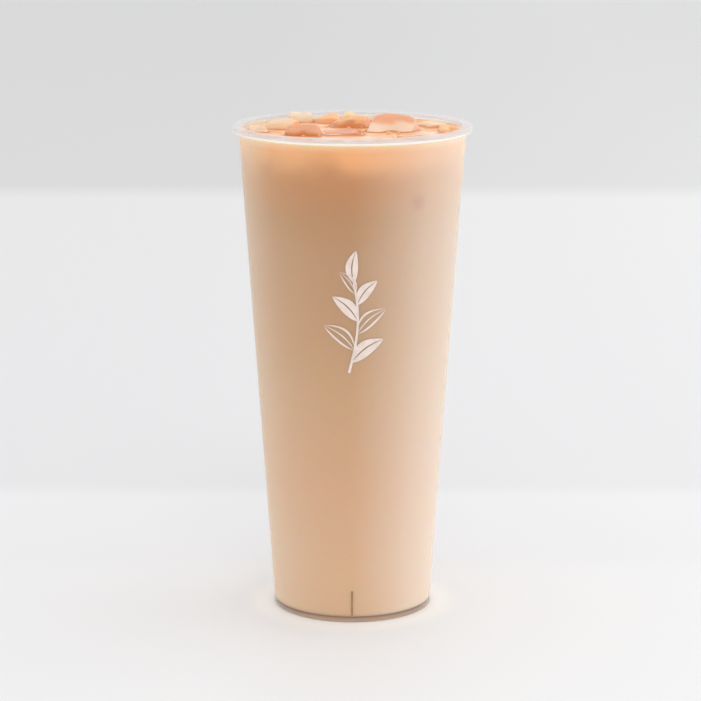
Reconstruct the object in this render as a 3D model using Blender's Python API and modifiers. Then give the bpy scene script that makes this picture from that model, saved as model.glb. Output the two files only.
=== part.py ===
"""Bubble tea: iced milk tea in a tall clear plastic cup, filled almost to the rim.

The cup stands on z = 0 with its axis on Z. The camera side is -Y. Every size is in metres.
"""

import math
import random

import bmesh
import bpy
from mathutils import Euler, Vector

MM = 0.001

# Driving dimensions of the cup
CUP_HEIGHT = 185 * MM
RIM_DIAMETER = 90 * MM
SHOULDER_DIAMETER = 85.3 * MM
FOOT_DIAMETER = 60 * MM
WALL = 0.6 * MM
AROUND = 72

# The rim is a flat sealing flange with its edge turned down
RIM_DEPTH = 2.4 * MM
RIM_INNER_DIAMETER = 82.6 * MM
RIM_LIP = 0.9 * MM
RIM_TOP_THICKNESS = 1.1 * MM
RIM_ROUND = 0.45 * MM

# The floor sits above the table inside a foot ring
FLOOR_TOP = 2.5 * MM
FLOOR_THICKNESS = 0.9 * MM
FOOT_RING = 0.9 * MM
FLOOR_FILLET = 1.6 * MM

# Short ribs inside the wall keep stacked cups apart
RIB_COUNT = 3
RIB_HEIGHT = 10 * MM
RIB_WIDTH = 0.7 * MM
RIB_DEPTH = 0.6 * MM
RIB_TURN = -0.9

# The drink
TEA_BELOW_RIM = 2.8 * MM
FIT_GAP = 0.3 * MM

# Ice: rounded cubes with a hollow on one face, as a tray ice maker leaves them
ICE_CORNER = 0.24
ICE_HOLLOW = 0.2
ICE_MELT = 0.03
ICE_SEED = 7

# Each piece: east, north, centre above the tea, size, lean forward, lean sideways, turn.
# Lengths are in millimetres and angles in degrees. Lean forward tips the hollow towards -Y,
# and half a turn of it puts the hollow underneath.
ICE_PIECES = [
    (14.7, 1.5, -5.0, (18.5, 20, 18), 26, 6, -15),
    (-18, -14.5, -3.2, (12, 12, 10), 58, -3, -6),
    (-27, 9, -4.2, (13, 13, 13), 188, -6, -20),
    (-35.9, -2.6, -2.6, (8, 9, 10), 10, 10, 12),
    (-20, 28.3, -2.4, (9, 9, 13), 2, 4, 10),
    (-8.6, 25.9, -3.7, (10, 9, 11), 198, -20, 4),
    (-0.9, 35, -2.5, (8, 7, 9), 8, 40, 5),
    (0, 12.6, -4.6, (12, 11, 12), 196, -14, -12),
    (-3.6, -8.4, -5.7, (15, 15, 12), 183, -3, 5),
    (31.4, 14.4, -4.6, (12.5, 13, 12), 186, 4, 25),
    (9.8, 31.4, -3.0, (9, 8, 10), 12, -14, 12),
    (35.6, -3, -2.6, (8, 10, 10), 12, 14, 6),
    (24.2, -20.4, -5.7, (16, 14, 13), 188, -7, 32),
    (-10, -31, -5.8, (15, 12, 12), 186, 5, -8),
    (8, -30, -6.2, (14, 13, 13), 184, 8, 20),
    (20.8, 26.6, -5.4, (10.5, 11, 11), 190, -6, 38),
    (-30, -18.5, -5.4, (9, 10, 11), 186, -4, 31),
]

CUP_COLOUR = (0.93, 0.94, 0.94, 1.0)
TEA_COLOUR = (0.70, 0.42, 0.25, 1.0)
ICE_COLOUR = (0.93, 0.80, 0.66, 1.0)


def clear_scene():
    """Removes the startup objects."""
    for item in list(bpy.data.objects):
        bpy.data.objects.remove(item)


def new_collection(name):
    """A collection linked to the scene."""
    made = bpy.data.collections.new(name)
    bpy.context.scene.collection.children.link(made)
    return made


def material(name, colour, roughness, alpha=1.0):
    """A Principled material in the colour of the real piece."""
    made = bpy.data.materials.new(name)
    made.use_nodes = True
    shader = made.node_tree.nodes["Principled BSDF"]
    shader.inputs["Base Color"].default_value = colour
    shader.inputs["Roughness"].default_value = roughness
    shader.inputs["Metallic"].default_value = 0.0
    shader.inputs["Alpha"].default_value = alpha
    return made


def arc(centre, radius, start, end, steps):
    """Points of a circular arc in the profile plane, from start to end in degrees."""
    points = []
    for i in range(steps + 1):
        turn = math.radians(start + (end - start) * i / steps)
        points.append((centre[0] + radius * math.cos(turn), centre[1] + radius * math.sin(turn)))
    return points


def outer_radius(z):
    """Outside of the tapered wall at height z."""
    share = z / (CUP_HEIGHT - RIM_DEPTH)
    return (FOOT_DIAMETER + (SHOULDER_DIAMETER - FOOT_DIAMETER) * share) / 2


def inner_radius(z):
    """Inside of the tapered wall at height z."""
    return outer_radius(z) - WALL


def cup_profile():
    """Half section of the cup: floor, inside wall, rim, outside wall, foot and recess."""
    rim_radius = RIM_DIAMETER / 2
    rim_inner = RIM_INNER_DIAMETER / 2
    lip_bottom = CUP_HEIGHT - RIM_DEPTH
    under_top = CUP_HEIGHT - RIM_TOP_THICKNESS
    foot_radius = FOOT_DIAMETER / 2
    corner = inner_radius(FLOOR_TOP) - FLOOR_FILLET
    recess_top = FLOOR_TOP - FLOOR_THICKNESS
    rim_edge = rim_inner + RIM_ROUND
    points = [(0.0, FLOOR_TOP)]
    points += arc((corner, FLOOR_TOP + FLOOR_FILLET), FLOOR_FILLET, -90, -4, 3)
    points.append((inner_radius(lip_bottom), lip_bottom))
    points += arc((rim_edge, CUP_HEIGHT - RIM_ROUND), RIM_ROUND, 180, 90, 2)
    points += arc((rim_radius - RIM_ROUND, CUP_HEIGHT - RIM_ROUND), RIM_ROUND, 90, 0, 2)
    points += arc((rim_radius - RIM_LIP / 2, lip_bottom + RIM_LIP / 2), RIM_LIP / 2, 0, -180, 2)
    points.append((rim_radius - RIM_LIP, under_top))
    points.append((outer_radius(under_top), under_top))
    points.append((outer_radius(RIM_ROUND), RIM_ROUND))
    points.append((foot_radius - RIM_ROUND / 2, 0.0))
    points.append((foot_radius - FOOT_RING, 0.0))
    points.append((foot_radius - FOOT_RING, recess_top - RIM_ROUND))
    points.append((foot_radius - FOOT_RING - RIM_ROUND, recess_top))
    points.append((0.0, recess_top))
    return points


def tea_level():
    """Height of the tea surface."""
    return CUP_HEIGHT - TEA_BELOW_RIM


def tea_profile():
    """Half section of the drink, kept clear of the cup all round."""
    bottom = FLOOR_TOP + FIT_GAP
    corner = inner_radius(bottom) - FIT_GAP - FLOOR_FILLET
    top = tea_level()
    points = [(0.0, top), (inner_radius(top) - FIT_GAP, top)]
    points += arc((corner, bottom + FLOOR_FILLET), FLOOR_FILLET, -4, -90, 3)
    points.append((0.0, bottom))
    return points


def turned(name, profile, collection):
    """A solid of revolution about Z from a half section that starts and ends on the axis."""
    mesh = bpy.data.meshes.new(name)
    edges = [(i, i + 1) for i in range(len(profile) - 1)]
    mesh.from_pydata([(x, 0.0, z) for x, z in profile], edges, [])
    made = bpy.data.objects.new(name, mesh)
    collection.objects.link(made)
    screw = made.modifiers.new("turn", "SCREW")
    screw.axis = "Z"
    screw.steps = AROUND
    screw.render_steps = AROUND
    screw.use_merge_vertices = True
    screw.merge_threshold = 0.00005
    return made


def rib_block(name, turn, grow, collection):
    """One inside rib, or its larger cutter, standing on the floor against the wall."""
    foot = Vector((inner_radius(FLOOR_TOP), 0.0, FLOOR_TOP))
    head = Vector((inner_radius(FLOOR_TOP + RIB_HEIGHT), 0.0, FLOOR_TOP + RIB_HEIGHT))
    lean = math.atan2(head.x - foot.x, head.z - foot.z)
    middle = (foot + head) / 2
    depth = (RIB_DEPTH + grow) * 2
    bpy.ops.mesh.primitive_cube_add(size=1)
    made = bpy.context.active_object
    made.name = name
    made.scale = (depth, RIB_WIDTH + 2 * grow, RIB_HEIGHT + 2 * grow)
    made.rotation_euler = Euler((0.0, lean, 0.0))
    made.location = middle
    bpy.ops.object.transform_apply(location=True, rotation=True, scale=True)
    made.rotation_euler = Euler((0.0, 0.0, math.radians(turn)))
    for owner in list(made.users_collection):
        owner.objects.unlink(made)
    collection.objects.link(made)
    return made


def rib_turns():
    """Bearings of the ribs. The first faces -Y."""
    return [-90 + RIB_TURN + 360 * i / RIB_COUNT for i in range(RIB_COUNT)]


def rounded(point, half, corner):
    """A point of a box moved onto the same box with round edges."""
    core = Vector([max(-(h - corner), min(h - corner, c)) for c, h in zip(point, half)])
    out = point - core
    if out.length < 1e-9:
        return point
    return core + out.normalized() * corner


def ice_mesh(name, size, draw):
    """A cube of ice with round edges, a hollow in its upper face and uneven melted sides."""
    half = Vector(size) / 2 * MM
    corner = min(half) * 2 * ICE_CORNER
    work = bmesh.new()
    bmesh.ops.create_cube(work, size=2.0)
    bmesh.ops.subdivide_edges(work, edges=work.edges[:], cuts=3, use_grid_fill=True)
    for vert in work.verts:
        shares = [1 - corner / h for h in half]
        # The grid line halfway out moves to where the round of the edge begins
        spread = [
            h * (math.copysign(k, c) if 0.1 < abs(c) < 0.9 else c)
            for c, h, k in zip(vert.co, half, shares)
        ]
        place = rounded(Vector(spread), half, corner)
        middle = max(0.0, 1 - math.hypot(vert.co.x, vert.co.y) / 0.8)
        if vert.co.z > 0.9:
            place.z -= min(size) * MM * ICE_HOLLOW * middle
        melt = [1 + draw.uniform(-ICE_MELT, ICE_MELT) for _ in range(3)]
        vert.co = Vector([c * m for c, m in zip(place, melt)])
    bmesh.ops.triangulate(work, faces=work.faces[:])
    bmesh.ops.recalc_face_normals(work, faces=work.faces[:])
    mesh = bpy.data.meshes.new(name)
    work.to_mesh(mesh)
    work.free()
    return mesh


def grown(mesh, distance):
    """A copy of a mesh whose faces all stand this far outside the faces of the first."""
    work = bmesh.new()
    work.from_mesh(mesh)
    work.normal_update()
    moves = [(v, v.co + v.normal * distance * v.calc_shell_factor()) for v in work.verts]
    for vert, place in moves:
        vert.co = place
    made = bpy.data.meshes.new(mesh.name + "_cutter")
    work.to_mesh(made)
    work.free()
    return made


def helper(item):
    """Marks an object as a cutter, which is not part of the drink."""
    item.hide_render = True
    item.display_type = "WIRE"


def add_ice(collection, cutters):
    """Every floating piece as its own object, and a larger copy that cuts its bed in the tea."""
    draw = random.Random(ICE_SEED)
    look = material("clear_ice", ICE_COLOUR, 0.05, 0.6)
    for i, (east, north, centre, size, forward, sideways, turn) in enumerate(ICE_PIECES, start=1):
        name = f"ice_{i:02d}"
        mesh = ice_mesh(name, size, draw)
        mesh.materials.append(look)
        made = bpy.data.objects.new(name, mesh)
        bed = bpy.data.objects.new(name + "_bed", grown(mesh, FIT_GAP))
        for item in (made, bed):
            item.location = (east * MM, north * MM, tea_level() + centre * MM)
            item.rotation_euler = Euler([math.radians(a) for a in (forward, sideways, turn)])
        collection.objects.link(made)
        cutters.objects.link(bed)
        helper(bed)


def add_cup(collection, helpers):
    """The moulded cup with its ribs joined on."""
    cup = turned("cup", cup_profile(), collection)
    cup.data.materials.append(material("clear_polypropylene", CUP_COLOUR, 0.15, 0.35))
    ribs = new_collection("ribs")
    for i, turn in enumerate(rib_turns(), start=1):
        rib = rib_block(f"rib_{i}", turn, 0.0, ribs)
        helper(rib)
        bed = rib_block(f"rib_{i}_bed", turn, FIT_GAP, helpers)
        helper(bed)
    join = cup.modifiers.new("ribs", "BOOLEAN")
    join.operation = "UNION"
    join.operand_type = "COLLECTION"
    join.collection = ribs
    return cup


def add_tea(collection, cutters):
    """The milk tea, hollowed where the ice floats in it and notched round the ribs."""
    tea = turned("milk_tea", tea_profile(), collection)
    tea.data.materials.append(material("milk_tea", TEA_COLOUR, 0.3))
    cut = tea.modifiers.new("beds", "BOOLEAN")
    cut.operation = "DIFFERENCE"
    cut.operand_type = "COLLECTION"
    cut.collection = cutters
    return tea


def main():
    clear_scene()
    drink = new_collection("bubble_tea")
    cutters = new_collection("cutters")
    add_cup(drink, cutters)
    add_ice(drink, cutters)
    add_tea(drink, cutters)


main()
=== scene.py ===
"""Bubble tea: iced milk tea in a tall clear plastic cup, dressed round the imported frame."""

import math
import random

import bpy
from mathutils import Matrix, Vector, noise
from mathutils.bvhtree import BVHTree


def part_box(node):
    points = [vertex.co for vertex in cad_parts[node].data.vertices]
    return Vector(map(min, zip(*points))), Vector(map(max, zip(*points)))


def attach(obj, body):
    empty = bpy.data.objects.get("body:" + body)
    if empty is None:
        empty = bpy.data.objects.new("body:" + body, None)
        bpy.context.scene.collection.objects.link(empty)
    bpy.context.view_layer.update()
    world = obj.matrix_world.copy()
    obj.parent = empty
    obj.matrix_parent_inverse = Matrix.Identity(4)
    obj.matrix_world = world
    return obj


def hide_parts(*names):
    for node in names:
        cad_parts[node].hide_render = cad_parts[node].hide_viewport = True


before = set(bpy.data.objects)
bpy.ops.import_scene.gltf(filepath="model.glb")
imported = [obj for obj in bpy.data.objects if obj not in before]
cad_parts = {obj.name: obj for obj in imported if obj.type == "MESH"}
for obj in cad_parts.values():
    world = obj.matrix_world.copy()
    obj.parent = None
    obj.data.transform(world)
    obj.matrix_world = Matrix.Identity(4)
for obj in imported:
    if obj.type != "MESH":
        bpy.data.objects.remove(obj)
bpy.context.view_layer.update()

# Cup
# One injection moulding of clarified polypropylene with a 0.6 mm wall. The rim is a flange for a
# sealing film, with its edge turned down to a small round lip. The floor stands on a foot ring.
MM = 0.001
CUP_HEIGHT = 185 * MM
CUP_SIDES = 256
RIM_RADIUS = 45 * MM
RIM_INNER = 41.3 * MM
RIM_DEPTH = 2.4 * MM
RIM_THICKNESS = 1.1 * MM
RIM_ROUND = 0.45 * MM
LIP_ROUND = 0.45 * MM
LIP_GROOVE = 0.25 * MM
LIP_START = 42
SHOULDER_RADIUS = 42.65 * MM
FOOT_RADIUS = 30 * MM
WALL = 0.6 * MM
WALL_LEAN = 4
FLOOR_TOP = 2.5 * MM
FLOOR_THICKNESS = 0.9 * MM
FOOT_RING = 0.9 * MM
FLOOR_FILLET = 1.6 * MM
FINE_WALL = 4 * MM
EASE = 0.3 * MM
NICK = 0.1 * MM
CENTRE = 1 * MM
CUP_SMOOTH = math.radians(40)


def wall_radius(z):
    """Outside of the tapered wall at height z."""
    return FOOT_RADIUS + (SHOULDER_RADIUS - FOOT_RADIUS) * z / (CUP_HEIGHT - RIM_DEPTH)


def arc(x, z, radius, start, end, steps):
    """Points of an arc round (x, z) in the half section, from start to end in degrees."""
    turns = [math.radians(start + (end - start) * i / steps) for i in range(steps + 1)]
    return [(x + radius * math.cos(t), z + radius * math.sin(t)) for t in turns]


def straight(start, end, steps):
    """Points from start up to but not including end."""
    return [tuple(a + (b - a) * i / steps for a, b in zip(start, end)) for i in range(steps)]


def turned_piece(name, section, sides):
    """A closed turned body: a ring laid along the half section, opened at its axis and spun."""
    bpy.ops.object.select_all(action="DESELECT")
    bpy.ops.mesh.primitive_circle_add(vertices=len(section), radius=1)
    piece = bpy.context.active_object
    piece.name = piece.data.name = name
    for vert, (x, z) in zip(piece.data.vertices, section):
        vert.co = (x, 0, z)
    ends = {0, len(section) - 1}
    for edge in piece.data.edges:
        edge.select = set(edge.vertices) == ends
    for vert in piece.data.vertices:
        vert.select = False
    bpy.ops.object.mode_set(mode="EDIT")
    bpy.ops.mesh.select_mode(type="EDGE")
    bpy.ops.mesh.delete(type="EDGE")
    bpy.ops.mesh.select_mode(type="VERT")
    bpy.ops.mesh.select_all(action="SELECT")
    bpy.ops.mesh.spin(steps=sides, angle=math.tau, center=(0, 0, 0), axis=(0, 0, 1))
    bpy.ops.mesh.select_all(action="SELECT")
    bpy.ops.mesh.remove_doubles(threshold=0.001 * MM)
    bpy.ops.mesh.fill_holes(sides=0)
    bpy.ops.mesh.normals_make_consistent(inside=False)
    bpy.ops.object.mode_set(mode="OBJECT")
    return piece


lip_bottom = CUP_HEIGHT - RIM_DEPTH
under_rim = CUP_HEIGHT - RIM_THICKNESS
recess_top = FLOOR_TOP - FLOOR_THICKNESS
foot_inner = FOOT_RADIUS - FOOT_RING
corner = wall_radius(FLOOR_TOP) - WALL - FLOOR_FILLET
section = [(CENTRE, FLOOR_TOP)]
section += arc(corner, FLOOR_TOP + FLOOR_FILLET, FLOOR_FILLET, -90, -WALL_LEAN, 8)
section += straight(
    (wall_radius(FLOOR_TOP + FLOOR_FILLET) - WALL, FLOOR_TOP + FLOOR_FILLET),
    (wall_radius(lip_bottom) - WALL, lip_bottom - EASE),
    10,
)[1:]
section.append((wall_radius(lip_bottom) - WALL, lip_bottom - EASE))
section += arc(RIM_INNER + RIM_ROUND, CUP_HEIGHT - RIM_ROUND, RIM_ROUND, 180, 90, 5)
section += arc(RIM_RADIUS - RIM_ROUND - NICK, CUP_HEIGHT - RIM_ROUND, RIM_ROUND, 90, 0, 5)
section.append((RIM_RADIUS - NICK, lip_bottom + 2 * LIP_ROUND + 1.2 * NICK))
section.append((RIM_RADIUS - LIP_GROOVE, lip_bottom + 2 * LIP_ROUND))
section += arc(RIM_RADIUS - LIP_ROUND, lip_bottom + LIP_ROUND, LIP_ROUND, LIP_START, -180, 12)
section.append((RIM_RADIUS - 2 * LIP_ROUND, under_rim - EASE))
section.append((RIM_RADIUS - 2 * LIP_ROUND - EASE, under_rim))
section.append((wall_radius(under_rim) + EASE, under_rim))
section += straight((wall_radius(under_rim), under_rim - EASE), (wall_radius(FINE_WALL), FINE_WALL), 12)
section += straight((wall_radius(FINE_WALL), FINE_WALL), (wall_radius(RIM_ROUND), RIM_ROUND), 8)
section += arc(FOOT_RADIUS - RIM_ROUND, RIM_ROUND, RIM_ROUND, 0, -90, 4)
section.append((foot_inner + NICK, 0.0))
section.append((foot_inner, NICK))
section += arc(foot_inner - RIM_ROUND, recess_top - RIM_ROUND, RIM_ROUND, 0, 90, 4)
section.append((CENTRE, recess_top))
cup = turned_piece("cup_shell", section, CUP_SIDES)
bpy.ops.object.shade_smooth_by_angle(angle=CUP_SMOOTH)


def linear(code):
    """Linear colour of an sRGB hex code."""
    values = [int(code[i : i + 2], 16) / 255 for i in (1, 3, 5)]
    return [v / 12.92 if v <= 0.04045 else ((v + 0.055) / 1.055) ** 2.4 for v in values] + [1.0]


def add_node(tree, kind, inputs=(), **settings):
    """A node with its settings, and its inputs filled with values or joined to other nodes."""
    made = tree.nodes.new(kind)
    for key, value in settings.items():
        setattr(made, key, value)
    for key, value in dict(inputs).items():
        if isinstance(value, bpy.types.NodeSocket):
            tree.links.new(value, made.inputs[key])
        else:
            made.inputs[key].default_value = value
    return made


def new_material(name, piece):
    """A node material on a piece, with its node tree and its empty output node."""
    made = bpy.data.materials.new(name)
    made.use_nodes = True
    made.node_tree.nodes.clear()
    piece.data.materials.append(made)
    return made.node_tree, made.node_tree.nodes.new("ShaderNodeOutputMaterial")


def fill_ramp(ramp, stops):
    """Stops of place, colour and alpha on a colour ramp."""
    while len(ramp.elements) < len(stops):
        ramp.elements.new(0.5)
    for element, (place, code, alpha) in zip(ramp.elements, stops):
        element.position = place
    for element, (place, code, alpha) in zip(ramp.elements, stops):
        element.color = linear(code)[:3] + [alpha]


# Clarified polypropylene is water clear where it is thin and milky where it is thick. A mould
# polished less than for glass leaves its shine soft. Each stop is a height in millimetres, the
# tint and the share of light scattered there: the foot and its lines are painted in the drink's
# brown, as painted shade and a painted reflection of the drink.
def polypropylene(name, stops, edge_haze, roughness, sheen, through=0.5, thinned=1.0):
    """Clear plastic. through: share of the scattered light that goes on. thinned: milk edge on."""
    tree, output = new_material(name, cup)
    place = add_node(tree, "ShaderNodeTexCoord").outputs["Object"]
    height = add_node(tree, "ShaderNodeSeparateXYZ", {0: place}).outputs["Z"]
    level = add_node(tree, "ShaderNodeMath", {0: height, 1: CUP_HEIGHT}, operation="DIVIDE").outputs[0]
    tint = add_node(tree, "ShaderNodeValToRGB", {0: level})
    fill_ramp(tint.color_ramp, [(z * MM / CUP_HEIGHT, code, share) for z, code, share in stops])
    facing = add_node(tree, "ShaderNodeLayerWeight", {"Blend": 0.5}).outputs["Facing"]
    slope = add_node(tree, "ShaderNodeMath", {0: facing, 1: 1.5}, operation="POWER").outputs[0]
    fade = add_node(tree, "ShaderNodeMapRange", {0: facing, 1: 0.2, 2: 0.8, 3: 1.0, 4: thinned}).outputs[0]
    milk = add_node(tree, "ShaderNodeMath", {0: tint.outputs["Alpha"], 1: fade}, operation="MULTIPLY")
    mirrored = add_node(
        tree, "ShaderNodeMath", {0: slope, 1: sheen, 2: 0.03}, operation="MULTIPLY_ADD"
    ).outputs[0]
    clear = add_node(tree, "ShaderNodeBsdfTransparent", {"Color": linear("#FCFCFB")})
    shine = add_node(
        tree, "ShaderNodeBsdfAnisotropic", {"Color": linear("#FFFFFF"), "Roughness": roughness}
    )
    skin = add_node(tree, "ShaderNodeMixShader", {0: mirrored, 1: clear.outputs[0], 2: shine.outputs[0]})
    lit = add_node(tree, "ShaderNodeBsdfDiffuse", {"Color": tint.outputs["Color"]})
    passed = add_node(tree, "ShaderNodeBsdfTranslucent", {"Color": tint.outputs["Color"]})
    milky = add_node(tree, "ShaderNodeMixShader", {0: through, 1: lit.outputs[0], 2: passed.outputs[0]})
    share = add_node(
        tree, "ShaderNodeMath", {0: slope, 1: edge_haze, 2: milk.outputs[0]}, operation="MULTIPLY_ADD"
    ).outputs[0]
    whole = add_node(tree, "ShaderNodeMixShader", {0: share, 1: skin.outputs[0], 2: milky.outputs[0]})
    tree.links.new(whole.outputs[0], output.inputs["Surface"])


# Below 2.7 mm the stops paint the foot: a brown band, a pale band and a dark line, painted shade of the
# recess under the drink and a painted reflection of its brown.
WALL_STOPS = [
    (0.0, "#B08A6E", 0.75),
    (0.35, "#B08A6E", 0.75),
    (0.6, "#DDB898", 0.5),
    (1.6, "#D2AA8A", 0.5),
    (1.8, "#8E6850", 0.8),
    (2.4, "#8E6850", 0.8),
    (2.7, "#F7F4F0", 0.02),
    (182.6, "#F7F4F0", 0.04),
    (185.0, "#EAEAEA", 0.1),
]
RIM_STOPS = [(0.0, "#E8EAED", 0.5), (183.9, "#E8EAED", 0.5), (185.0, "#ECEDF0", 0.5)]
# The lip is whiter and more milky than the rim: partly its own milky plastic, partly a painted highlight
# along it.
LIP_STOPS = [(0.0, "#FFFFFF", 0.8), (185.0, "#FFFFFF", 0.8)]
BASE_STOPS = [(0.0, "#F8F0E8", 0.6), (185.0, "#F8F0E8", 0.6)]
polypropylene("clarified_polypropylene", WALL_STOPS, 0.05, 0.35, sheen=0.26, through=0.15, thinned=0.1)
polypropylene("polypropylene_lip", LIP_STOPS, edge_haze=0.0, roughness=0.15, sheen=0.1, thinned=0.3)
polypropylene("polypropylene_rim", RIM_STOPS, edge_haze=0.0, roughness=0.2, sheen=0.1)
polypropylene("polypropylene_base", BASE_STOPS, edge_haze=0.0, roughness=0.3, sheen=0.1)
for face in cup.data.polygons:
    out, up = face.center.xy.length, face.center.z
    on_lip = lip_bottom - NICK < up < lip_bottom + 2 * LIP_ROUND and out > RIM_RADIUS - 2 * LIP_ROUND
    on_rim = up > under_rim - EASE - NICK and out > RIM_INNER - NICK
    under = up < recess_top + NICK and out < FOOT_RADIUS - RIM_ROUND
    face.material_index = 1 if on_lip else 2 if on_rim else 3 if under else 0
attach(cup, "root")
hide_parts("cup")

# Stacking ribs
# Three short ribs moulded inside the wall above the floor, which keep stacked cups apart. They
# show as a brown line, which is painted shade.
RIB_COUNT = 3
RIB_HEIGHT = 10 * MM
RIB_WIDTH = 0.7 * MM
RIB_DEPTH = 0.6 * MM
RIB_TURN = -90.2
RIB_SHOW = 0.06 * MM
RIB_BEVEL = 0.06
bpy.ops.object.select_all(action="DESELECT")
bpy.ops.mesh.primitive_cube_add(size=1)
first = bpy.context.active_object
bpy.ops.object.mode_set(mode="EDIT")
bpy.ops.mesh.select_all(action="SELECT")
bpy.ops.mesh.subdivide(number_cuts=1)
bpy.ops.mesh.bevel(offset=RIB_BEVEL, segments=2, affect="EDGES")
bpy.ops.object.mode_set(mode="OBJECT")
for vert in first.data.vertices:
    up = FLOOR_TOP + (vert.co.z + 0.5) * RIB_HEIGHT
    reach = wall_radius(up) - RIB_SHOW - (0.5 - vert.co.x) * (RIB_DEPTH + WALL - RIB_SHOW)
    vert.co = (reach, vert.co.y * RIB_WIDTH, up)
ribs = [first]
for i in range(1, RIB_COUNT):
    rib = bpy.data.objects.new("rib", first.data.copy())
    bpy.context.scene.collection.objects.link(rib)
    ribs.append(rib)
for i, rib in enumerate(ribs):
    rib.name = rib.data.name = f"stacking_rib_{i + 1}"
    turn = math.radians(RIB_TURN + 360 * i / RIB_COUNT)
    for vert in rib.data.vertices:
        x, y = vert.co.x, vert.co.y
        vert.co.x = x * math.cos(turn) - y * math.sin(turn)
        vert.co.y = x * math.sin(turn) + y * math.cos(turn)

# The rib is the cup's own plastic with tea on both sides. It is painted brown in uneven streaks:
# painted shade for the dark line the drink shows through it.
for rib in ribs:
    tree, output = new_material("polypropylene_rib_in_tea", rib)
    place = add_node(tree, "ShaderNodeTexCoord").outputs["Object"]
    rib_shade_noise = add_node(tree, "ShaderNodeTexNoise", {"Vector": place, "Scale": 1 / (1.2 * MM)})
    rib_shade = add_node(tree, "ShaderNodeValToRGB", {0: rib_shade_noise.outputs["Fac"]})
    fill_ramp(rib_shade.color_ramp, [(0.35, "#A8744A", 1.0), (0.65, "#B98458", 1.0)])
    brown = add_node(
        tree,
        "ShaderNodeBsdfPrincipled",
        {"Base Color": rib_shade.outputs["Color"], "Roughness": 0.4, "Specular IOR Level": 0.2},
    )
    tree.links.new(brown.outputs[0], output.inputs["Surface"])
    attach(rib, "root")

# Print
# A pad print in white ink on the front of the cup: a sprig of tea leaves. The ink is a few
# hundredths of a millimetre thick and follows the curve of the wall.
PRINT_HEIGHT = 119 * MM
INK_LIFT = 0.03 * MM
LEAVES = [
    # along the stem, length, width, lean in degrees, side, filled
    (0.12, 14.5, 5.6, 54, 1, True),
    (0.26, 14.5, 5.6, 52, -1, False),
    (0.44, 14.0, 5.4, 50, 1, False),
    (0.58, 13.0, 5.2, 46, -1, True),
    (0.76, 11.5, 4.6, 40, 1, True),
    (0.88, 10.0, 4.0, 36, -1, False),
    (1.0, 12.0, 4.6, 4, 1, True),
]
STEM_LENGTH = 34 * MM
STEM_WIDTH = 0.85 * MM
STEM_BOW = 3.2 * MM
STEM_SHIFT = 1.2 * MM
STEM_BELOW = 0.62
STEM_BEND = 2.6
LEAF_CURL = 0.09
LEAF_FULLNESS = 0.75
FILLED_BANDS = [(-1.0, -0.1), (0.1, 1.0)]
OUTLINED_BANDS = [(-1.0, -0.7), (0.7, 1.0), (-0.09, 0.09)]


def stem_point(share):
    """A point of the curved stem, sideways and up from the middle of the print."""
    sideways = STEM_BOW * math.sin(share * STEM_BEND) - STEM_SHIFT
    return Vector((sideways, (share - STEM_BELOW) * STEM_LENGTH))


def taper(along):
    """Width on the way from base to tip, as a share of the middle's."""
    return 1.15 - 0.3 * along


def joined(name, pieces):
    """One object made of the pieces."""
    bpy.ops.object.select_all(action="DESELECT")
    for piece in pieces:
        piece.select_set(True)
    bpy.context.view_layer.objects.active = pieces[0]
    bpy.ops.object.join()
    whole = bpy.context.active_object
    whole.name = whole.data.name = name
    return whole


def inked_patch(columns, rows, place):
    """A flat grid whose points are moved to place(along, across), with both from 0 to 1."""
    bpy.ops.object.select_all(action="DESELECT")
    bpy.ops.mesh.primitive_grid_add(x_subdivisions=columns, y_subdivisions=rows, size=1)
    patch = bpy.context.active_object
    for vert in patch.data.vertices:
        sideways, up = place(vert.co.x + 0.5, vert.co.y + 0.5)
        angle = sideways / wall_radius(PRINT_HEIGHT + up)
        reach = wall_radius(PRINT_HEIGHT + up) + INK_LIFT / 2
        vert.co = (reach * math.sin(angle), -reach * math.cos(angle), PRINT_HEIGHT + up)
    return patch


def ribbon(width):
    """A strip along the stem."""

    def place(along, across):
        here = stem_point(along)
        ahead = (stem_point(along + 0.01) - here).normalized()
        side = Vector((ahead.y, -ahead.x))
        return here + side * (across - 0.5) * width * taper(along)

    return place


def leaf_place(base, lean, length, width, start, stop):
    """A leaf blade, or the strip of it between two shares of its half width."""

    def place(along, across):
        swell = math.sin(math.pi * along) ** LEAF_FULLNESS * taper(along)
        reach = (start + (stop - start) * across) * width / 2 * swell
        ahead = Vector((math.sin(lean), math.cos(lean)))
        side = Vector((ahead.y, -ahead.x))
        bend = side * LEAF_CURL * length * math.sin(math.pi * along) * (1 if lean > 0 else -1)
        return base + ahead * length * along + side * reach - bend

    return place


patches = [inked_patch(60, 2, ribbon(STEM_WIDTH))]
for along, length, width, lean, side, filled in LEAVES:
    place_of = [stem_point(along), math.radians(lean) * side, length * MM, width * MM]
    for start, stop in FILLED_BANDS if filled else OUTLINED_BANDS:
        patches.append(inked_patch(24, 4, leaf_place(*place_of, start, stop)))
sprig = joined("white_print", patches)
bpy.ops.object.mode_set(mode="EDIT")
bpy.ops.mesh.select_all(action="SELECT")
bpy.ops.mesh.remove_doubles(threshold=0.01 * MM)
bpy.ops.mesh.normals_make_consistent(inside=False)
bpy.ops.object.mode_set(mode="OBJECT")
wrap = sprig.modifiers.new("ink", "SOLIDIFY")
wrap.thickness = INK_LIFT
wrap.offset = 0
bpy.ops.object.modifier_apply(modifier="ink")

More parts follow.
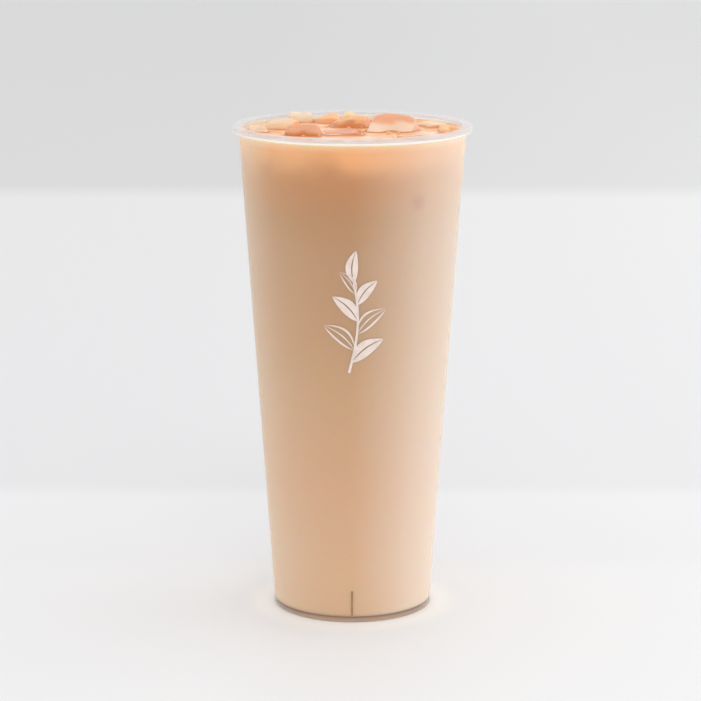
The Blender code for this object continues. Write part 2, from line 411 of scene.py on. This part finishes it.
# White pad-printing ink dries satin and a little thin, so the drink tints it, and unevenly where
# the pad pressed harder.
tree, output = new_material("white_pad_print_ink", sprig)
place = add_node(tree, "ShaderNodeTexCoord").outputs["Object"]
pressed = add_node(tree, "ShaderNodeTexNoise", {"Vector": place, "Scale": 1 / (3 * MM), "Detail": 3.0})
laid = add_node(tree, "ShaderNodeValToRGB", {0: pressed.outputs["Fac"]})
fill_ramp(laid.color_ramp, [(0.35, "#E0CCC0", 1.0), (0.6, "#EAD9D0", 1.0)])
ink = add_node(tree, "ShaderNodeBsdfPrincipled", {"Base Color": laid.outputs["Color"], "Roughness": 0.45})
tree.links.new(ink.outputs[0], output.inputs["Surface"])
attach(sprig, "root")

# Ice
# Clear cubes from a tray machine, with a hollow on one face and edges rounded by melting. They
# float in the tea, most of each below its surface.
TEA_LEVEL = CUP_HEIGHT - 2.8 * MM
ICE_CREASE = 0.62
ICE_WAVE = 3.2 * MM
ICE_WAVE_HEIGHT = 0.22 * MM
QUAD_ANGLE = math.radians(60)
# Rounding makes a piece smaller, so some are drawn larger again, by these shares along x, y and z.
ICE_SWELL = {
    "ice_02": (1.15, 1.0, 1.15),
    "ice_03": (1.12, 1.0, 1.1),
    "ice_06": (1.2, 1.1, 1.15),
    "ice_07": (1.3, 1.0, 1.15),
    "ice_08": (1.4, 1.1, 1.25),
    "ice_09": (1.2, 1.1, 1.15),
}
ice_nodes = sorted(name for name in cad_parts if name.startswith("ice"))
ice_pieces = []
for number, node_name in enumerate(ice_nodes):
    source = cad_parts[node_name]
    cube = bpy.data.objects.new("ice_cube_" + node_name[-2:], source.data.copy())
    bpy.context.scene.collection.objects.link(cube)
    cube.data.materials.clear()
    bpy.ops.object.select_all(action="DESELECT")
    cube.select_set(True)
    bpy.context.view_layer.objects.active = cube
    bpy.ops.object.mode_set(mode="EDIT")
    bpy.ops.mesh.select_all(action="SELECT")
    bpy.ops.mesh.remove_doubles(threshold=0.001 * MM)
    bpy.ops.mesh.tris_convert_to_quads(face_threshold=QUAD_ANGLE, shape_threshold=QUAD_ANGLE)
    bpy.ops.transform.edge_crease(value=ICE_CREASE)
    bpy.ops.object.mode_set(mode="OBJECT")
    smooth = cube.modifiers.new("melted", "SUBSURF")
    smooth.levels = smooth.render_levels = 2
    bpy.ops.object.modifier_apply(modifier="melted")
    outward = [vert.normal.copy() for vert in cube.data.vertices]
    for vert, normal in zip(cube.data.vertices, outward):
        wave = noise.noise(vert.co / ICE_WAVE + Vector((number, 0, 0)))
        vert.co += normal * wave * ICE_WAVE_HEIGHT
    low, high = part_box(node_name)
    for axis, swell in enumerate(ICE_SWELL.get(node_name, (1.0, 1.0, 1.0))):
        along = [vert.co[axis] for vert in cube.data.vertices]
        stretch = swell * (high[axis] - low[axis]) / (max(along) - min(along))
        middle, old_middle = (low[axis] + high[axis]) / 2, (min(along) + max(along)) / 2
        for vert, value in zip(cube.data.vertices, along):
            vert.co[axis] = middle + (value - old_middle) * stretch
    bpy.ops.object.shade_smooth()
    ice_pieces.append(cube)
    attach(cube, "root")
    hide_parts(node_name)

# Ice from a tray machine is clear outside and cloudy in the core. Wet with milk tea, it picks up
# the tea's orange unevenly. Each row gives the tint near the tea, the tint at the top, the tint
# painted on faces turned to the window, a painted light, and how much of the ice is clear. Pieces
# without a row take row 10. Rounded edges are painted pale, a painted highlight.
ICE_TINTS = {
    "01": ("#FADCC0", "#F1AF88", "#F0C0A4", 0.2),
    "02": ("#D08A56", "#F0B490", "#E8A77C", 0.2),
    "03": ("#F0C79C", "#F7D3AA", "#FFA84E", 0.2),
    "04": ("#F2D3AC", "#FAE2C2", "#F6D6AE", 0.3),
    "05": ("#F8E6C8", "#FBF0D6", "#F8E8CC", 0.3),
    "06": ("#EDA874", "#FFC692", "#EDA874", 0.15),
    "07": ("#F8DCA8", "#FFE6B4", "#F8DCB0", 0.25),
    "08": ("#D4824C", "#F8B47E", "#F2A670", 0.15),
    "09": ("#CE7A44", "#E48C52", "#DC8C54", 0.12),
    "10": ("#E09C68", "#F6CFA8", "#EDBE96", 0.15),
    "11": ("#FAD0BC", "#FDDCCB", "#FAD0BC", 0.3),
    "12": ("#F4B478", "#FACB94", "#FFDFC0", 0.2),
}
for cube in ice_pieces:
    low_tint, top_tint, window_side_painted_tint, clearness = ICE_TINTS.get(cube.name[-2:], ICE_TINTS["10"])
    rise = max(vert.co.z for vert in cube.data.vertices) - TEA_LEVEL
    tree, output = new_material("wet_cloudy_ice_" + cube.name[-2:], cube)
    place = add_node(tree, "ShaderNodeTexCoord").outputs["Object"]
    geometry = add_node(tree, "ShaderNodeNewGeometry")
    # Faces turned to the window take the side tint: painted light.
    facing = add_node(tree, "ShaderNodeSeparateXYZ", {0: geometry.outputs["Normal"]}).outputs["X"]
    sideways = add_node(tree, "ShaderNodeMapRange", {0: facing, 1: 0.45, 2: 0.75}).outputs[0]
    height = add_node(tree, "ShaderNodeSeparateXYZ", {0: place}).outputs["Z"]
    cloud = add_node(tree, "ShaderNodeTexNoise", {"Vector": place, "Scale": 1 / (7 * MM), "Detail": 1.0})
    wander = add_node(
        tree, "ShaderNodeMath", {0: cloud.outputs["Fac"], 1: rise, 2: height}, operation="MULTIPLY_ADD"
    ).outputs[0]
    upper = add_node(
        tree,
        "ShaderNodeMapRange",
        {0: wander, 1: TEA_LEVEL + 0.85 * rise, 2: TEA_LEVEL + 1.2 * rise},
        interpolation_type="SMOOTHSTEP",
    ).outputs[0]
    graded = add_node(
        tree, "ShaderNodeMix", {0: upper, 6: linear(low_tint), 7: linear(top_tint)}, data_type="RGBA"
    ).outputs[2]
    tinted_with_painted_light = add_node(
        tree, "ShaderNodeMix", {0: sideways, 6: graded, 7: linear(window_side_painted_tint)}, data_type="RGBA"
    ).outputs[2]
    # Rounded edges are painted pale: a painted highlight.
    edges = add_node(
        tree, "ShaderNodeMapRange", {0: geometry.outputs["Pointiness"], 1: 0.52, 2: 0.62, 4: 0.7}
    ).outputs[0]
    colour = add_node(
        tree, "ShaderNodeMix", {0: edges, 6: tinted_with_painted_light, 7: linear("#FCEBDD")}, data_type="RGBA"
    ).outputs[2]
    wet = add_node(
        tree,
        "ShaderNodeBsdfPrincipled",
        {"Base Color": colour, "Roughness": 0.08, "IOR": 1.31, "Specular IOR Level": 0.35},
    )
    glassy = add_node(
        tree,
        "ShaderNodeBsdfPrincipled",
        {"Base Color": linear("#FFDDB8"), "Roughness": 0.05, "IOR": 1.31, "Transmission Weight": 1.0},
    )
    straight_through = add_node(tree, "ShaderNodeBsdfTransparent", {"Color": linear("#FFDDB8")})
    see = add_node(
        tree, "ShaderNodeMixShader", {0: 0.5, 1: glassy.outputs[0], 2: straight_through.outputs[0]}
    )
    whole = add_node(tree, "ShaderNodeMixShader", {0: clearness, 1: wet.outputs[0], 2: see.outputs[0]})
    tree.links.new(whole.outputs[0], output.inputs["Surface"])

# Milk tea
# Strong black tea with milk, opaque and smooth. It fills the cup to just under the rim, reaches
# into the wall so that no air shows, and climbs a little up the wall and the ice.
TEA_INTO_WALL = 0.2 * MM
TEA_BOTTOM = FLOOR_TOP - 0.4 * MM
TEA_ROUND = 0.8 * MM
TEA_SIDES = 360
TEA_RING = 0.55 * MM
CLIMB = 0.7 * MM
CLIMB_REACH = 0.8 * MM
ICE_RING = 0.9 * MM
RIPPLE_HEIGHT = 0.12 * MM
RIPPLE_LENGTH = 9 * MM
SURFACE_DEPTH = 0.2 * MM
BED_OVERLAP = 0.06 * MM
HAIR = 0.01 * MM
TEA_SMOOTH = math.radians(50)


def tea_radius(z):
    """Outside of the tea at height z, a little inside the plastic of the wall."""
    return wall_radius(z) - TEA_INTO_WALL


top_rings = int((tea_radius(TEA_LEVEL) - CENTRE) / TEA_RING)
section = straight((CENTRE, TEA_LEVEL), (tea_radius(TEA_LEVEL), TEA_LEVEL), top_rings)
section += straight(
    (tea_radius(TEA_LEVEL), TEA_LEVEL), (tea_radius(TEA_BOTTOM), TEA_BOTTOM + TEA_ROUND), 24
)
foot = tea_radius(TEA_BOTTOM) - TEA_ROUND
section += arc(foot, TEA_BOTTOM + TEA_ROUND, TEA_ROUND, -WALL_LEAN, -90, 6)
section.append((CENTRE, TEA_BOTTOM))
tea = turned_piece("milk_tea_body", section, TEA_SIDES)

points, faces, start = [], [], 0
for cube in ice_pieces:
    points += [vert.co for vert in cube.data.vertices]
    faces += [[start + i for i in face.vertices] for face in cube.data.polygons]
    start = len(points)
ice_tree = BVHTree.FromPolygons(points, faces)
near_ice = tea.data.attributes.new("near_ice", "FLOAT", "POINT")
for vert in tea.data.vertices:
    if vert.co.z < TEA_LEVEL - HAIR:
        continue
    spot = Vector((vert.co.x, vert.co.y, TEA_LEVEL))
    near, normal, _, distance = ice_tree.find_nearest(spot)
    inside = (spot - near).dot(normal) < 0
    to_ice = 0.0 if inside else distance
    to_wall = tea_radius(TEA_LEVEL) - math.hypot(vert.co.x, vert.co.y)
    near_ice.data[vert.index].value = math.exp(-distance / ICE_RING)
    climb = CLIMB * max(math.exp(-to_ice / CLIMB_REACH), math.exp(-to_wall / CLIMB_REACH))
    ripple = RIPPLE_HEIGHT * noise.noise(Vector((vert.co.x, vert.co.y, 0)) / RIPPLE_LENGTH)
    vert.co.z = TEA_LEVEL + climb + ripple
    if to_wall < HAIR:
        widened = tea_radius(vert.co.z) / tea_radius(TEA_LEVEL)
        vert.co.x *= widened
        vert.co.y *= widened
for face in tea.data.polygons:
    face.material_index = 1 if face.center.z > TEA_LEVEL - SURFACE_DEPTH else 0

# Milk tea scatters light a few millimetres deep, red furthest. Through the wall it goes from pale
# at the foot to brown near the top, the paler foot partly painted light from the floor, over a
# band of painted shade at the very bottom. Near the top lies a warm band of painted light where
# light comes down between the ice, and just below the lip a pale band of painted light. The window
# side, and a little high up the far edge, are whitened by a painted sheen and reflection of the
# wall. A darker spot marks ice that leans on the wall.
SIDE_STOPS = [
    (0.0, "#C09A7E", 1.0),
    (2.6, "#C09A7E", 1.0),
    (3.0, "#DFBB98", 1.0),
    (22.6, "#DFBB99", 1.0),
    (52.0, "#DBB391", 1.0),
    (87.0, "#D2AC87", 1.0),
    (108.0, "#CCA47E", 1.0),
    (125.0, "#C8A07A", 1.0),
    (142.0, "#C59C76", 1.0),
    (155.0, "#C29568", 1.0),
    (166.0, "#C9925F", 1.0),
    (185.0, "#D89F6C", 1.0),
]
ICE_SPOT = (24.2 * MM, -33 * MM, 160.7 * MM)
ICE_SPOT_REACH = 5 * MM
GLOW_BOTTOM = 183 * MM
GLOW_DRIP = -22 * MM
GLOW_FADE = (-3 * MM, 9 * MM)
BRIM_FADE = (179.5 * MM, 182.2 * MM)
FAR_SHEEN_FADE = (60 * MM, 180 * MM)
TEA_DEPTH = {
    "IOR": 1.34,
    "Subsurface Weight": 1.0,
    "Subsurface Radius": (1.0, 0.5, 0.25),
    "Subsurface Scale": 4 * MM,
}
tree, output = new_material("milk_tea_behind_plastic", tea)
place = add_node(tree, "ShaderNodeTexCoord").outputs["Object"]
outward = add_node(tree, "ShaderNodeTexCoord").outputs["Normal"]
height = add_node(tree, "ShaderNodeSeparateXYZ", {0: place}).outputs["Z"]
level = add_node(tree, "ShaderNodeMath", {0: height, 1: CUP_HEIGHT}, operation="DIVIDE").outputs[0]
# Darker towards the top, paler towards the foot: partly painted light from the floor, with painted shade
# at the very bottom.
height_tone_and_painted_light = add_node(tree, "ShaderNodeValToRGB", {0: level})
fill_ramp(height_tone_and_painted_light.color_ramp, [(z * MM / CUP_HEIGHT, code, alpha) for z, code, alpha in SIDE_STOPS])
drift = add_node(tree, "ShaderNodeTexNoise", {"Vector": place, "Scale": 1 / (26 * MM), "Detail": 2.0})
edge = add_node(
    tree,
    "ShaderNodeMath",
    {0: drift.outputs["Fac"], 1: GLOW_DRIP, 2: GLOW_BOTTOM},
    operation="MULTIPLY_ADD",
).outputs[0]
above = add_node(tree, "ShaderNodeMath", {0: height, 1: edge}, operation="SUBTRACT").outputs[0]
aside = add_node(tree, "ShaderNodeSeparateXYZ", {0: outward}).outputs["X"]
dimmer = add_node(tree, "ShaderNodeMapRange", {0: aside, 1: 0.0, 2: 0.6, 3: 1.0, 4: 0.65}).outputs[0]
# The warm band near the top is painted light from above.
glow = add_node(
    tree,
    "ShaderNodeMapRange",
    {"Value": above, "From Min": GLOW_FADE[0], "From Max": GLOW_FADE[1], "To Max": dimmer},
    interpolation_type="SMOOTHSTEP",
).outputs[0]
glowing = add_node(
    tree, "ShaderNodeMix", {0: glow, 6: height_tone_and_painted_light.outputs["Color"], 7: linear("#F6BA80")}, data_type="RGBA"
).outputs[2]
# The pale band below the lip is painted light.
brim = add_node(tree, "ShaderNodeMapRange", {0: height, 1: BRIM_FADE[0], 2: BRIM_FADE[1], 4: 0.75})
warm = add_node(
    tree, "ShaderNodeMix", {0: brim.outputs[0], 6: glowing, 7: linear("#FFE2BC")}, data_type="RGBA"
).outputs[2]
to_spot = add_node(tree, "ShaderNodeVectorMath", {0: place, 1: ICE_SPOT}, operation="DISTANCE")
spot = add_node(
    tree,
    "ShaderNodeMapRange",
    {0: to_spot.outputs["Value"], 1: ICE_SPOT_REACH / 10, 2: ICE_SPOT_REACH, 3: 0.85, 4: 0.0},
    interpolation_type="SMOOTHSTEP",
).outputs[0]
marked = add_node(
    tree, "ShaderNodeMix", {0: spot, 6: warm, 7: linear("#B47850")}, data_type="RGBA"
).outputs[2]
# Whiter on the window side and high up the far edge: a painted sheen and reflection of the wall.
window_painted_sheen = add_node(tree, "ShaderNodeMapRange", {0: aside, 1: 0.0, 2: 0.65, 4: 0.3}).outputs[0]
far_side = add_node(tree, "ShaderNodeMapRange", {0: aside, 1: -0.7, 2: -1.0}).outputs[0]
near_top = add_node(tree, "ShaderNodeMapRange", {0: height, 1: FAR_SHEEN_FADE[0], 2: FAR_SHEEN_FADE[1], 4: 0.2})
painted_sheen = add_node(
    tree, "ShaderNodeMath", {0: far_side, 1: near_top.outputs[0], 2: window_painted_sheen}, operation="MULTIPLY_ADD"
).outputs[0]
colour = add_node(
    tree, "ShaderNodeMix", {0: painted_sheen, 6: marked, 7: linear("#F7F0E9")}, data_type="RGBA"
).outputs[2]
side = add_node(
    tree,
    "ShaderNodeBsdfPrincipled",
    {"Base Color": colour, "Roughness": 0.5, "Specular IOR Level": 0.0, **TEA_DEPTH},
)
tree.links.new(side.outputs[0], output.inputs["Surface"])

# The open surface is wet and smooth, paler where milk fat gathers. Where it climbs the ice in a
# thin film it is painted a deeper orange, with a brown line where they touch: painted shade round
# the ice. The film is too thin to scatter light inside.
tree, output = new_material("milk_tea_surface", tea)
place = add_node(tree, "ShaderNodeTexCoord").outputs["Object"]
drift = add_node(tree, "ShaderNodeTexNoise", {"Vector": place, "Scale": 1 / (9 * MM), "Detail": 3.0})
surface = add_node(tree, "ShaderNodeValToRGB", {0: drift.outputs["Fac"]})
fill_ramp(surface.color_ramp, [(0.35, "#EFB083", 1.0), (0.65, "#F9CDA8", 1.0)])
ring = add_node(tree, "ShaderNodeAttribute", attribute_name="near_ice").outputs["Fac"]
# Painted shade round the ice: deeper orange near it, a brown line where it touches.
thin = add_node(tree, "ShaderNodeMapRange", {0: ring, 1: 0.2, 2: 0.8, 4: 0.85}).outputs[0]
with_painted_shade = add_node(
    tree, "ShaderNodeMix", {0: thin, 6: surface.outputs["Color"], 7: linear("#D07F42")}, data_type="RGBA"
).outputs[2]
painted_shade_line = add_node(tree, "ShaderNodeMapRange", {0: ring, 1: 0.7, 2: 0.95, 4: 0.6}).outputs[0]
colour = add_node(
    tree, "ShaderNodeMix", {0: painted_shade_line, 6: with_painted_shade, 7: linear("#A4582A")}, data_type="RGBA"
).outputs[2]
deep = add_node(tree, "ShaderNodeMapRange", {0: ring, 1: 0.02, 2: 0.3, 3: 1.0, 4: 0.0}).outputs[0]
wet_top = {"Base Color": colour, "Roughness": 0.1, "Specular IOR Level": 0.08, **TEA_DEPTH}
wet_top["Subsurface Weight"] = deep
top = add_node(tree, "ShaderNodeBsdfPrincipled", wet_top)
tree.links.new(top.outputs[0], output.inputs["Surface"])

beds = []
for cube in ice_pieces:
    bed = bpy.data.objects.new("bed", cube.data.copy())
    bpy.context.scene.collection.objects.link(bed)
    bed.data.materials.clear()
    outward = [vert.normal.copy() for vert in cube.data.vertices]
    for vert, normal in zip(bed.data.vertices, outward):
        vert.co -= normal * BED_OVERLAP
    beds.append(bed)

# Where tea lies against ice it is painted a bright deep orange, painted light standing in for the
# light that reaches it from the side, and seen through the ice.
tree, output = new_material("milk_tea_against_ice", beds[0])
place = add_node(tree, "ShaderNodeTexCoord").outputs["Object"]
drift = add_node(tree, "ShaderNodeTexNoise", {"Vector": place, "Scale": 1 / (6 * MM)})
lit_tea = add_node(tree, "ShaderNodeValToRGB", {0: drift.outputs["Fac"]})
fill_ramp(lit_tea.color_ramp, [(0.35, "#FFB66C", 1.0), (0.65, "#FFCB90", 1.0)])
under = add_node(
    tree,
    "ShaderNodeBsdfPrincipled",
    {"Base Color": lit_tea.outputs["Color"], "Roughness": 0.5, "Specular IOR Level": 0.0, **TEA_DEPTH},
)
tree.links.new(under.outputs[0], output.inputs["Surface"])
tea.data.materials.append(beds[0].data.materials[0])
bpy.ops.object.select_all(action="DESELECT")
tea.select_set(True)
bpy.context.view_layer.objects.active = tea
for bed in beds:
    if bed is not beds[0]:
        bed.data.materials.append(beds[0].data.materials[0])
    cut = tea.modifiers.new("bed", "BOOLEAN")
    cut.operation = "DIFFERENCE"
    cut.solver = "EXACT"
    cut.material_mode = "TRANSFER"
    cut.object = bed
    bpy.ops.object.modifier_apply(modifier="bed")
for bed in beds:
    bpy.data.objects.remove(bed)
bpy.ops.object.shade_smooth_by_angle(angle=TEA_SMOOTH)
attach(tea, "root")
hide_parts("milk_tea")

# Bubbles
# Small bubbles left by shaking, caught against the ice and half sunk: thin skins of tea round
# air. One dome is made, then copied at each place and joined.
BUBBLE_COUNT = 34
BUBBLE_RADII = [0.35 * MM, 0.4 * MM, 0.5 * MM, 0.6 * MM, 0.8 * MM, 1.0 * MM]
BUBBLE_LIFT = 0.3 * MM
BUBBLE_TO_ICE = 0.6 * MM
BUBBLE_FROM_WALL = 1 * MM
draw = random.Random(11)
bpy.ops.object.select_all(action="DESELECT")
bpy.ops.mesh.primitive_uv_sphere_add(segments=16, ring_count=10, radius=1)
dome = bpy.context.active_object
bpy.ops.object.mode_set(mode="EDIT")
bpy.ops.mesh.select_all(action="SELECT")
bpy.ops.mesh.bisect(plane_co=(0, 0, -0.4), plane_no=(0, 0, 1), clear_inner=True, use_fill=True)
bpy.ops.object.mode_set(mode="OBJECT")
bubbles = []
while len(bubbles) < BUBBLE_COUNT:
    radius = draw.choice(BUBBLE_RADII)
    turn, out = draw.uniform(0, math.tau), tea_radius(TEA_LEVEL) * math.sqrt(draw.random())
    spot = Vector((out * math.cos(turn), out * math.sin(turn), TEA_LEVEL))
    near, normal, _, distance = ice_tree.find_nearest(spot)
    in_ice = (spot - near).dot(normal) < 0
    beside_ice = 0.7 * radius < distance < radius + BUBBLE_TO_ICE
    at_wall = out > tea_radius(TEA_LEVEL) - 2 * radius - BUBBLE_FROM_WALL
    if in_ice or at_wall or not beside_ice:
        continue
    bubble = bpy.data.objects.new("bubble", dome.data.copy())
    bpy.context.scene.collection.objects.link(bubble)
    for vert in bubble.data.vertices:
        vert.co = spot + vert.co * radius + Vector((0, 0, BUBBLE_LIFT))
    bubbles.append(bubble)
bpy.data.objects.remove(dome)
foam = joined("foam_bubbles", bubbles)
bpy.ops.object.shade_smooth()

# A bubble's skin is clear face on and shows the tea, with a pale ring of skin where it is seen
# edge on that is partly a painted reflection.
tree, output = new_material("skin_of_milk_tea", foam)
place = add_node(tree, "ShaderNodeTexCoord").outputs["Object"]
facing = add_node(tree, "ShaderNodeLayerWeight", {"Blend": 0.4}).outputs["Facing"]
film = add_node(tree, "ShaderNodeTexNoise", {"Vector": place, "Scale": 1 / (0.8 * MM)})
tint = add_node(tree, "ShaderNodeValToRGB", {0: film.outputs["Fac"]})
fill_ramp(tint.color_ramp, [(0.4, "#F6D0AC", 1.0), (0.6, "#FFEBD8", 1.0)])
clear = add_node(tree, "ShaderNodeBsdfTransparent", {"Color": linear("#FFEEDC")})
skin = add_node(
    tree, "ShaderNodeBsdfPrincipled", {"Base Color": tint.outputs["Color"], "Roughness": 0.05, "IOR": 1.34}
)
# Edge on, more of the pale skin shows: partly a painted reflection.
ring = add_node(tree, "ShaderNodeMapRange", {0: facing, 1: 0.1, 2: 0.75, 3: 0.2, 4: 0.85}).outputs[0]
whole = add_node(tree, "ShaderNodeMixShader", {0: ring, 1: clear.outputs[0], 2: skin.outputs[0]})
tree.links.new(whole.outputs[0], output.inputs["Surface"])
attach(foam, "root")

# Floor
# A plain white table that runs on behind, painted a little greyer with distance as painted shade
# and paler towards the window as painted light. Round the foot it is painted lighter, painted
# light that stands in for light coming through the drink.
TABLE_SIZE = 14
TABLE_BEHIND = 3
bpy.ops.object.select_all(action="DESELECT")
bpy.ops.mesh.primitive_grid_add(
    x_subdivisions=8, y_subdivisions=8, size=TABLE_SIZE, location=(0, TABLE_BEHIND, 0)
)
floor = bpy.context.active_object
floor.name = "table"
bpy.ops.object.transform_apply(location=True)

# White laminate with a satin finish. Each stop is a distance in metres behind the cup and a tone;
# the tones darken with distance, a painted shade.
TONE_START = -0.2
TONE_LENGTH = 2
LIT_ROUND_FOOT = (29 * MM, 44 * MM)
FLOOR_STOPS = [(-0.1, "#E1E1E1"), (0.03, "#E1E1E1"), (0.06, "#DEDEDF"), (0.155, "#DEDEDF")]
FLOOR_STOPS += [(0.17, "#D7D7D8"), (1.03, "#D9D9D9"), (1.1, "#CACACA")]
tree, output = new_material("white_laminate_table", floor)
place = add_node(tree, "ShaderNodeTexCoord").outputs["Object"]
away = add_node(tree, "ShaderNodeSeparateXYZ", {0: place}).outputs["Y"]
reach = add_node(tree, "ShaderNodeMapRange", {0: away, 1: TONE_START, 2: TONE_START + TONE_LENGTH})
tone = add_node(tree, "ShaderNodeValToRGB", {0: reach.outputs[0]})
fill_ramp(tone.color_ramp, [((y - TONE_START) / TONE_LENGTH, code, 1.0) for y, code in FLOOR_STOPS])
across = add_node(tree, "ShaderNodeSeparateXYZ", {0: place}).outputs["X"]
# Paler towards the window side: painted light.
towards_window = add_node(tree, "ShaderNodeMapRange", {0: across, 1: -0.1, 2: 0.3, 4: 0.12}).outputs[0]
paler = add_node(
    tree,
    "ShaderNodeMix",
    {0: towards_window, 6: tone.outputs["Color"], 7: linear("#FFFFFF")},
    data_type="RGBA",
).outputs[2]
# Lighter round the foot: painted light over the contact shadow.
from_cup = add_node(tree, "ShaderNodeVectorMath", {0: place}, operation="LENGTH").outputs["Value"]
lit_round = add_node(
    tree,
    "ShaderNodeMapRange",
    {0: from_cup, 1: LIT_ROUND_FOOT[0], 2: LIT_ROUND_FOOT[1], 3: 0.6, 4: 0.0},
    interpolation_type="SMOOTHSTEP",
).outputs[0]
shade = add_node(
    tree, "ShaderNodeMix", {0: lit_round, 6: paler, 7: linear("#FDFAF5")}, data_type="RGBA"
).outputs[2]
table_top = add_node(tree, "ShaderNodeBsdfPrincipled", {"Base Color": shade, "Roughness": 0.6})
tree.links.new(table_top.outputs[0], output.inputs["Surface"])

# Light
# A white room all round, one large soft window on the right, and a softbox above the camera.
world = bpy.data.worlds.new("white_room")
bpy.context.scene.world = world
world.use_nodes = True
world.node_tree.nodes.clear()
room = add_node(world.node_tree, "ShaderNodeBackground", {"Color": linear("#FAFAFB"), "Strength": 1.13})
sky = world.node_tree.nodes.new("ShaderNodeOutputWorld")
world.node_tree.links.new(room.outputs[0], sky.inputs["Surface"])


def soft_light(name, place, aim, size, power):
    """A white area lamp of the given width and height in metres and power in watts."""
    lamp = bpy.data.lights.new(name, "AREA")
    lamp.shape = "RECTANGLE"
    lamp.size, lamp.size_y = size
    lamp.energy = power
    made = bpy.data.objects.new(name, lamp)
    bpy.context.scene.collection.objects.link(made)
    made.location = place
    made.rotation_euler = (Vector(aim) - Vector(place)).to_track_quat("-Z", "Y").to_euler()


CUP_MIDDLE = (0, 0, 0.1)
soft_light("window", (1.5, 0.35, 0.45), CUP_MIDDLE, (2.0, 1.0), 6.5)
soft_light("softbox", (0.2, -1.2, 1.3), CUP_MIDDLE, (0.6, 0.4), 2.5)

# Camera
# Above the height of the rim and about a metre away, turned down by 12 degrees, with a long lens.
CAMERA_PITCH = 11.975
CAMERA_PLACE = (-0.69 * MM, -985.6 * MM, CUP_HEIGHT + 122.6 * MM)
FOCAL_PIXELS = 2647.2
PICTURE_PIXELS = 701
SENSOR_WIDTH = 36
lens = bpy.data.cameras.new("camera")
lens.sensor_width = SENSOR_WIDTH
lens.lens = FOCAL_PIXELS / PICTURE_PIXELS * SENSOR_WIDTH
lens.clip_end = 50
camera = bpy.data.objects.new("camera", lens)
bpy.context.scene.collection.objects.link(camera)
camera.location = CAMERA_PLACE
camera.rotation_euler = (math.radians(90 - CAMERA_PITCH), 0, 0)
bpy.context.scene.camera = camera

shot = bpy.context.scene
shot.view_settings.view_transform = "Standard"
shot.cycles.transparent_max_bounces = 24
shot.cycles.max_bounces = 16
shot.cycles.transmission_bounces = 12
